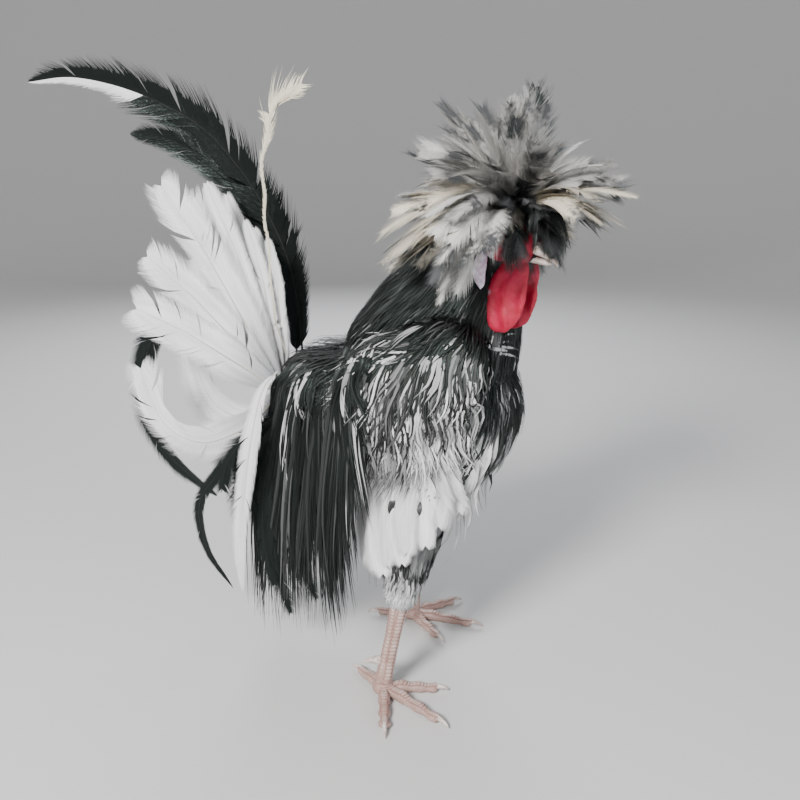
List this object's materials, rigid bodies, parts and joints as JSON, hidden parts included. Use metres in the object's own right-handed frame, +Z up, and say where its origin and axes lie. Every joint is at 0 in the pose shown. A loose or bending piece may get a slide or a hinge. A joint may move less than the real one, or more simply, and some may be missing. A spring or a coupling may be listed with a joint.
{
  "type": "polish crested rooster model",
  "caption": "Still life-size model of a standing crested rooster with a high tail, long saddle feathers and a spiky crest, for display.",
  "frame": {"origin": "centre of the bounding box in plan, at floor level", "axes": "+X the way the bird's body faces, +Y its left, +Z up"},
  "size_m": [0.5764, 0.23, 0.5432],
  "materials": {
    "black_feather": "glossy black plumage with a green sheen",
    "white_feather": "matt white plumage",
    "mottled_feather": "black and white mottled plumage",
    "crest_feather": "grey, cream and black crest plumage",
    "red_flesh": "smooth red skin",
    "white_lobe": "white skin with a mauve tint",
    "horn": "smooth horn",
    "eye": "wet and glossy",
    "leg_skin": "scaled pinkish skin"
  },
  "bodies": {
    "root": {"torso": "mottled_feather", "neck": "black_feather", "head": "red_flesh", "crest": "crest_feather", "beak_upper": "horn", "beak_lower": "horn", "eye_right": "eye", "eye_left": "eye", "wattle_right": "red_flesh", "wattle_left": "red_flesh", "earlobe_right": "white_lobe", "earlobe_left": "white_lobe", "comb_right": "red_flesh", "comb_left": "red_flesh", "wing_right": "mottled_feather", "wing_left": "mottled_feather", "thigh_right": "mottled_feather", "thigh_left": "mottled_feather", "shank_right": "leg_skin", "shank_left": "leg_skin", "foot_right": "leg_skin", "foot_left": "leg_skin", "claw_right_inner": "horn", "claw_right_middle": "horn", "claw_right_outer": "horn", "claw_right_hind": "horn", "claw_left_inner": "horn", "claw_left_middle": "horn", "claw_left_outer": "horn", "claw_left_hind": "horn", "spur_right": "horn", "spur_left": "horn", "tail": "white_feather", "tail_coverts": "black_feather", "sickle_great": "black_feather", "sickle_second": "black_feather", "sickle_low": "black_feather", "sickle_pale": "crest_feather", "sickle_white": "white_feather", "sickle_left": "black_feather", "sickle_under": "black_feather", "saddle_right": "black_feather", "saddle_left": "black_feather"}
  },
  "joints": []
}
